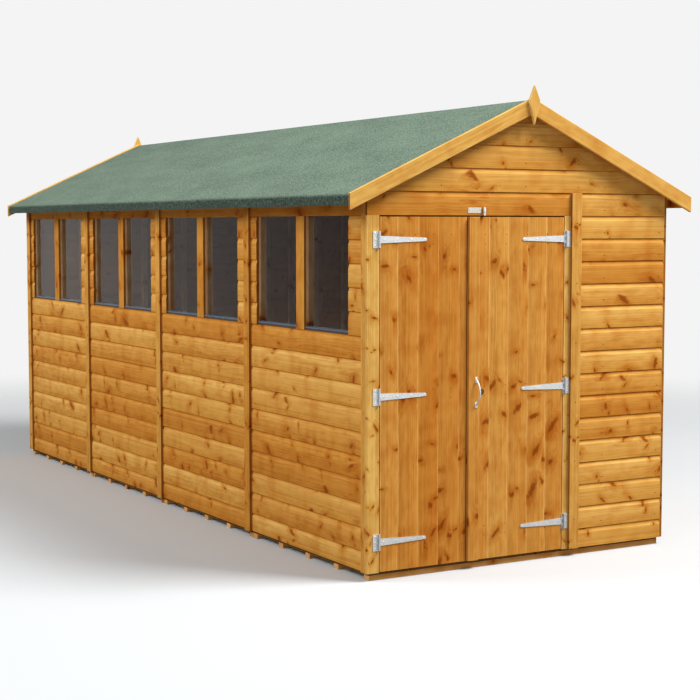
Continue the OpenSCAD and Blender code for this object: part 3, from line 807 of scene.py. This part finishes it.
# Felt: a green mineral felt laid over each slope from the ridge, folded down over the eaves and
# nailed there. It is thick with crushed slate, and lies not quite flat.
felt_fold = 0.006
felt_fold_steps = 4
felt_runs = 120
felt_falls = 24
felt_swell = 0.0012
swell_waves = Vector((2.0, 2.5, 0.0))
felt_thick = 0.0015
felt_relief = 0.0012
drip_shade_top = 0.002
drip_shade_foot = 0.012
drip_shade_share = 0.9
felt_pale = (121, 140, 122)
felt_mid = (95, 113, 98)
felt_dark = (59, 75, 64)
drip_shade_dark = (0.13, 0.15, 0.15, 1.0)
drip_shade_pale = (0.46, 0.50, 0.50, 1.0)
felt_low, felt_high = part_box("felt_left")
eaves_z = felt_high.z + roof_fall * felt_low.x
felt_finish, start = new_finish("green_felt")
place = start.place()
grit = place.cloud((420.0, 420.0, 420.0), 2.0)
mottle = place.cloud((120.0, 120.0, 120.0), 3.0)
patch = place.cloud((6.0, 2.5, 6.0), 3.0)
clump = place.cloud((70.0, 70.0, 70.0), 2.0)
scatter = (grit - 0.5) * 1.6 + (mottle - 0.5) * 2.6 + (patch - 0.5) * 0.6
light_grain = scatter.rise(-0.25, 0.6).blend(dye(felt_mid), dye(felt_pale))
slate = scatter.rise(-0.05, -0.55).blend(light_grain, dye(felt_dark))
_, _, level = place.axes()
# painted shade: felt below the eaves line, on the turned-down drip, is darkened with a mottled glaze
drip_painted_shade = level.rise(eaves_z - drip_shade_top, eaves_z - drip_shade_foot) * drip_shade_share
shaded = slate.glaze(clump.rise(0.36, 0.64).blend(drip_shade_dark, drip_shade_pale))
close_finish(start, grit + mottle, felt_relief, {
    "Base Color": drip_painted_shade.blend(slate, shaded),
    "Roughness": 0.85 + grit * 0.1, "Specular IOR Level": 0.2})


def felt_sheet(node, side):
    """One slope's felt: the line of its fall, drawn out along the ridge, swollen and thickened."""
    low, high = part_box(node)
    edge = low.x if side < 0 else high.x
    corner = Vector((edge, low.y, high.z - roof_fall * abs(edge)))
    bm = bmesh.new()
    line = [bm.verts.new(point) for point in ((0, low.y, high.z), corner, (edge, low.y, low.z))]
    fall = bm.edges.new(line[:2])
    bm.edges.new(line[1:])
    bmesh.ops.subdivide_edges(bm, edges=[fall], cuts=felt_falls)
    grown = bmesh.ops.extrude_edge_only(bm, edges=bm.edges[:])["geom"]
    far_end = [v for v in grown if isinstance(v, bmesh.types.BMVert)]
    bmesh.ops.translate(bm, verts=far_end, vec=(0, high.y - low.y, 0))
    at_corner = {v for v in bm.verts if (v.co - corner).cross(north).length < weld_gap}
    ease(bm, [e for e in bm.edges if at_corner.issuperset(e.verts)], felt_fold, felt_fold_steps)
    long_edges = [e for e in bm.edges if abs(e.verts[0].co.y - e.verts[1].co.y) > weld_gap]
    bmesh.ops.subdivide_edges(bm, edges=long_edges, cuts=felt_runs)
    for vert in bm.verts:
        if abs(vert.co.x - edge) > felt_fold:
            vert.co.z -= felt_swell * (0.5 + 0.5 * noise.noise(vert.co * swell_waves))
    bmesh.ops.recalc_face_normals(bm, faces=bm.faces[:])
    if sum(f.normal.z for f in bm.faces) < 0:
        bmesh.ops.reverse_faces(bm, faces=bm.faces[:])
    bmesh.ops.solidify(bm, geom=bm.faces[:], thickness=felt_thick)
    piece(bm, node + "_sheet", "shed", "felt", felt_finish, node)


felt_sheet("felt_left", -1)
felt_sheet("felt_right", 1)


# Barge boards and finials: planed boards nailed up the edge of the roof at each gable, mitred at the
# point, where a diamond of the same wood covers the joint.
barge_wood = softwood("barge_wood", trim_pale, trim_ruddy, knot_radius=0.012, knotty=0.6)
for node in ("front_barges", "rear_barges"):
    piece(dressed(node, trim_ease), "planed_" + node, "shed", "trim", barge_wood, node)
piece(dressed("finials", trim_ease, up), "diamond_finials", "shed", "trim", barge_wood, "finials")


# Door leaves: upright matchboards of the same softwood with a V at each joint, nailed to sawn ledges and
# braces behind. A planed strip on the right leaf covers the joint where the two leaves meet.
match_board = 0.1155
left_edge_board = 0.099
right_edge_board = 0.107
right_whole_boards = 3
vee_width = 0.005
vee_depth = 0.0014
match_gap = 0.0008
door_nail_in = 0.022
door_nail_radius = 0.8 * nail_radius
brace_rise = 0.2
door_pale = (234, 177, 89)
door_ruddy = (212, 139, 53)
door_wood = softwood("door_wood", door_pale, door_ruddy, knot_radius=0.027)


def leaf(node, body, first_joint):
    """Boards one leaf of the doors from the first joint on, and eases the edges of each face into a V."""
    low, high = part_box(node)
    upright = Matrix((up, north, -west)).transposed().to_4x4()
    joints = [low.x]
    joint = first_joint
    while joint < high.x - weld_gap:
        joints.append(joint)
        joint += match_board
    joints.append(high.x)
    boards = bmesh.new()
    for left, right in zip(joints, joints[1:]):
        width = right - left - match_gap
        thick = high.y - low.y
        # painted highlight: the V's flanks are eased faces and take the pale edge glaze
        outline = [(vee_depth, 0.0), (0.0, vee_width), (0.0, width - vee_width), (vee_depth, width),
                   (thick, width), (thick, 0.0)]
        place = Matrix.Translation((left + match_gap / 2, low.y, low.z)) @ upright
        bm = drawn_out(outline, high.z - low.z, place)
        stack(boards, bm, up, -north)
    piece(boards, node + "_boards", body, "cladding", door_wood, node)


left_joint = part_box("left_leaf")[0].x + left_edge_board
right_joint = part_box("right_leaf")[1].x - right_edge_board - right_whole_boards * match_board
leaf("left_leaf", "left_door", left_joint)
leaf("right_leaf", "right_door", right_joint)
for node, body in (("left_ledges", "left_door"), ("right_ledges", "right_door")):
    piece(dressed(node, framing_ease), "sawn_" + node, body, "framing", framing_wood, node)
for side in ("left", "right"):
    low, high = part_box(side + "_leaf")
    door_nails = bmesh.new()
    for ledge_low, ledge_high in solids(side + "_ledges"):
        is_brace = ledge_high.z - ledge_low.z > brace_rise
        count = round((ledge_high.x - ledge_low.x) / match_board)
        for i in range(0 if is_brace else count):
            across = ledge_low.x + (ledge_high.x - ledge_low.x) * (i + 0.5) / count
            for level in (ledge_low.z + door_nail_in, ledge_high.z - door_nail_in):
                nail(door_nails, Vector((across, low.y, level)), -north, door_nail_radius)
    piece(door_nails, side + "_door_nails", side + "_door", "zinc", nail_steel)
meeting = dressed("meeting_strip", trim_ease)
piece(meeting, "planed_meeting_strip", "right_door", "trim", door_wood, "meeting_strip")


# Hinges: pressed straps and plates of bright zinc-plated steel with rolled knuckles on a pin, three to
# a leaf, held by round-headed screws.
zinc_ease = 0.0006
screw_radius = 0.0045
screw_height = 0.0016
screw_sides = 14
dome_turns = (0.0, 0.35, 0.7, 1.05, 1.3)
socket_shape = ((0.24, 0.55), (0.0, 0.5))
hinge_thick = 0.003
strap_holes = (0.13, 0.40, 0.68, 0.955)
plate_holes = (0.14, 0.5, 0.86)
plate_middle = 0.011
zinc_pale = (246, 247, 245)
zinc_grey = (212, 217, 218)
zinc_painted_shade = (104, 118, 134)
zinc_metal = 0.55
barrel_shade_share = 0.8


def plated(name, barrel_shade):
    """Zinc plate with a faint spangle, and blue-grey painted shade on its rounded barrel and eased edges.
    """
    material, start = new_finish(name)
    place = start.place()
    rounded_painted_shade = start.painted("tint_and_shade") * -1.0
    spangle = start.node("ShaderNodeTexVoronoi", {}, {"Vector": place, "Scale": 260.0})["Distance"]
    smear = place.cloud((18.0, 18.0, 40.0), 4.0)
    plain = (spangle * 0.5 + smear * 0.5).rise(0.25, 0.7).blend(dye(zinc_pale), dye(zinc_grey))
    # painted shade: blue-grey where the tint marks rounded and eased faces
    colour = (rounded_painted_shade.rise(0.2, 0.6) * barrel_shade).blend(plain, dye(zinc_painted_shade))
    close_finish(start, spangle * 0.3 + smear * 0.4, fine_relief, {
        "Base Color": colour, "Roughness": 0.32 + smear * 0.2, "Metallic": zinc_metal})
    return material


def spun(outline, point, out):
    """A round piece: an outline of (radius, height) pairs, spun about the line out of a face."""
    bm = bmesh.new()
    line = [bm.verts.new((radius, 0.0, height)) for radius, height in outline]
    for first, second in zip(line, line[1:]):
        bm.edges.new((first, second))
    bmesh.ops.spin(bm, geom=bm.verts[:] + bm.edges[:], cent=(0, 0, 0), axis=(0, 0, 1), angle=2 * math.pi,
                   steps=screw_sides, use_merge=True)
    bmesh.ops.remove_doubles(bm, verts=bm.verts[:], dist=weld_gap)
    bmesh.ops.recalc_face_normals(bm, faces=bm.faces[:])
    bmesh.ops.transform(bm, matrix=stood_out(point, out), verts=bm.verts[:])
    return bm


def screw(group, point):
    """Adds a round-headed screw with a pressed socket to the front of a fitting."""
    foot = [(0.0, -screw_height), (screw_radius, -screw_height)]
    dome = [(screw_radius * math.cos(turn), screw_height * math.sin(turn)) for turn in dome_turns]
    socket = [(screw_radius * across, screw_height * rise) for across, rise in socket_shape]
    add(group, spun(foot + dome + socket, point, -north))


zinc = plated("bright_zinc", 0.0)
hinge_zinc = plated("zinc_with_painted_shade", barrel_shade_share)
for side, body in (("left", "left_door"), ("right", "right_door")):
    strap_screws = bmesh.new()
    for low, high in solids(side + "_straps"):
        root, tip = (low.x, high.x) if side == "left" else (high.x, low.x)
        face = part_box(side + "_hinges")[1].y - hinge_thick
        for share in strap_holes:
            screw(strap_screws, Vector((root + (tip - root) * share, face, (low.z + high.z) / 2)))
    piece(strap_screws, side + "_strap_screws", body, "zinc", zinc)
    plate_screws = bmesh.new()
    for low, high in solids(side + "_hinges"):
        middle = low.x + plate_middle if side == "left" else high.x - plate_middle
        for share in plate_holes:
            screw(plate_screws, Vector((middle, high.y - hinge_thick, low.z + (high.z - low.z) * share)))
    piece(plate_screws, side + "_plate_screws", "shed", "zinc", zinc)
for node, body in (("left_hinges", "shed"), ("right_hinges", "shed"),
                   ("left_straps", "left_door"), ("right_straps", "right_door")):
    piece(dressed(node, zinc_ease), "zinc_" + node, body, "zinc", hinge_zinc, node)


# Pull handle: a bent zinc bow on the meeting strip, with a flat tab at each end and a screw through
# each tab.
handle_low, handle_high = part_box("pull_handle")
handle_x = (handle_low.x + handle_high.x) / 2
tab_in = 0.0145
tab_thick = 0.002
piece(dressed("pull_handle", zinc_ease), "bow_handle", "right_door", "zinc", zinc, "pull_handle")
handle_screws = bmesh.new()
for level in (handle_low.z + tab_in / 2, handle_high.z - tab_in / 2):
    screw(handle_screws, Vector((handle_x, handle_high.y - tab_thick, level)))
piece(handle_screws, "handle_screws", "right_door", "zinc", zinc)


# Lock: a turned ring of brown-painted steel beside the handle, round a bronze plug with a slot for the
# key. It is screwed on from behind.
lock_brown = (112, 70, 26)
lock_black = (76, 44, 14)
plug_bronze = (160, 108, 48)
plug_worn = (122, 78, 30)
plug_metallic = 0.4
rose_low, rose_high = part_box("lock_rose")
rose_middle = (rose_low + rose_high) / 2
rose_radius = (rose_high.x - rose_low.x) / 2
rose_rise = rose_high.y - rose_low.y
rose_face = Vector((rose_middle.x, rose_high.y, rose_middle.z))
key_slot = (0.0016, 0.0004, 0.0065)
slot_ease = key_slot[1] / 3
slot_rise = 0.74 * rose_rise
ring_shape = ((0.0, 0.0), (1.0, 0.0), (1.0, 0.35), (0.93, 0.5), (0.78, 0.55), (0.72, 0.9), (0.66, 1.0),
              (0.56, 1.0), (0.5, 0.85), (0.48, 0.5), (0.0, 0.5))
plug_shape = ((0.0, 0.0), (0.46, 0.0), (0.46, 0.62), (0.42, 0.7), (0.0, 0.72))
ring_outline = [(rose_radius * across, rose_rise * rise) for across, rise in ring_shape]
plug_outline = [(rose_radius * across, rose_rise * rise) for across, rise in plug_shape]


def old_metal(name, ground, marks, metallic):
    """Painted or bare metal, mottled and scratched by use."""
    material, start = new_finish(name)
    wear = start.place().cloud((160.0, 160.0, 160.0), 3.0)
    colour = wear.rise(0.3, 0.7).blend(dye(ground), dye(marks))
    sockets = {"Base Color": colour, "Roughness": 0.4 + wear * 0.3, "Metallic": metallic,
               "Specular IOR Level": 0.2}
    close_finish(start, wear, fine_relief, sockets)
    return material


lock_paint = old_metal("brown_lock", lock_brown, lock_black, 0.0)
plug_metal = old_metal("bronze_plug", plug_bronze, plug_worn, plug_metallic)
piece(spun(ring_outline, rose_face, -north), "lock_ring", "right_door", "lock", lock_paint, "lock_rose")
piece(spun(plug_outline, rose_face, -north), "lock_plug", "right_door", "lock", plug_metal)
# painted shade: the key slot is a thin black block on the plug, standing for the dark of the keyhole
slot = block(rose_face - north * slot_rise, key_slot, slot_ease)
piece(slot, "key_slot", "right_door", "lock", painted_shade_finish)


# Turn button and plate: a zinc catch that turns on a screw over the right leaf, and beside it a bare
# cream plate held by two pins.
plate_cream = (236, 230, 218)
plate_grey = (208, 202, 192)
plate_finish = old_metal("bare_plate", plate_cream, plate_grey, 0.0)
pin_in = 0.006
pin_radius = 0.0014
catch_ease = 3 * zinc_ease
piece(dressed("button_screw", zinc_ease), "catch_screw", "shed", "zinc", zinc, "button_screw")
piece(dressed("turn_button", catch_ease), "turning_catch", "button", "zinc", zinc, "turn_button")
piece(dressed("name_plate", zinc_ease), "bare_plate", "shed", "plate", plate_finish, "name_plate")
plate_low, plate_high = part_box("name_plate")
plate_pins = bmesh.new()
for across in (plate_low.x + pin_in, plate_high.x - pin_in):
    nail(plate_pins, Vector((across, plate_low.y, (plate_low.z + plate_high.z) / 2)), -north, pin_radius)
piece(plate_pins, "plate_pins", "shed", "zinc", nail_steel)


# Studio: a pale floor that fades into a pale background, and three soft square lights. The key light is
# high over the front right corner, a weaker one high before the windowed side, and the weakest low before
# the front left corner.
backdrop = (244, 244, 244)
floor_seen = (206, 209, 211)
floor_bounce = (140, 140, 140)
floor_reach = 30.0
fade_from = 3.5
fade_to = 9.0
sky_level = 0.26
camera_dip = 4.487
camera_turn = 30.145
scene = bpy.context.scene
scene.view_settings.view_transform = "Standard"

world = bpy.data.worlds.new("studio")
scene.world = world
world.use_nodes = True
world.node_tree.nodes.clear()
start = Shade(world.node_tree)
ray = start.node("ShaderNodeLightPath", {}, {})
mirrored = start.math("MAXIMUM", ray["Is Glossy Ray"], ray["Is Transmission Ray"])
seen = start.math("MAXIMUM", ray["Is Camera Ray"], mirrored)
sky = start.node("ShaderNodeBackground", {}, {"Color": (1, 1, 1, 1), "Strength": sky_level})["Background"]
wall = start.node("ShaderNodeBackground", {}, {"Color": dye(backdrop), "Strength": 1.0})["Background"]
start.node("ShaderNodeOutputWorld", {}, {"Surface": seen.cover(sky, wall)})

floor_finish, start = new_finish("studio_floor")
ray = start.node("ShaderNodeLightPath", {}, {})
away = start.node("ShaderNodeVectorMath", {"operation": "LENGTH"}, {0: start.place()})["Value"]
pale = ray["Is Camera Ray"].blend(dye(floor_bounce), dye(floor_seen))
matte = start.node("ShaderNodeBsdfDiffuse", {}, {"Color": pale})["BSDF"]
gone = start.node("ShaderNodeBsdfTransparent", {}, {})["BSDF"]
far_off = away.rise(fade_from, fade_to)
start.node("ShaderNodeOutputMaterial", {}, {"Surface": far_off.cover(matte, gone)})
bm = bmesh.new()
bmesh.ops.create_grid(bm, x_segments=1, y_segments=1, size=floor_reach)
mesh = bpy.data.meshes.new("studio_floor")
bm.to_mesh(mesh)
bm.free()
mesh.materials.append(floor_finish)
floor = bpy.data.objects.new("studio_floor", mesh)
scene.collection.objects.link(floor)


def softbox(name, at, target, size, watts):
    """A square soft light that looks at a point."""
    data = bpy.data.lights.new(name, "AREA")
    data.size = size
    data.energy = watts
    lamp = bpy.data.objects.new(name, data)
    lamp.location = at
    lamp.rotation_euler = (Vector(target) - Vector(at)).to_track_quat("-Z", "Y").to_euler()
    scene.collection.objects.link(lamp)


softbox("key_light", (4.9, -6.3, 10.3), (0, -2.0, 1.0), 5.2, 2000)
softbox("side_light", (-7.5, 2.2, 6.5), (-0.9, 0, 1.2), 5.0, 490)
softbox("corner_light", (-7.0, -6.5, 3.8), (-0.9, -1.0, 1.2), 3.0, 125)

camera_data = bpy.data.cameras.new("camera")
camera_data.lens = 80.48
camera_data.sensor_width = 36.0
camera = bpy.data.objects.new("camera", camera_data)
camera.location = (-4.656, -8.737, 1.680)
camera.rotation_euler = (math.radians(90 - camera_dip), 0, math.radians(-camera_turn))
scene.collection.objects.link(camera)
scene.camera = camera
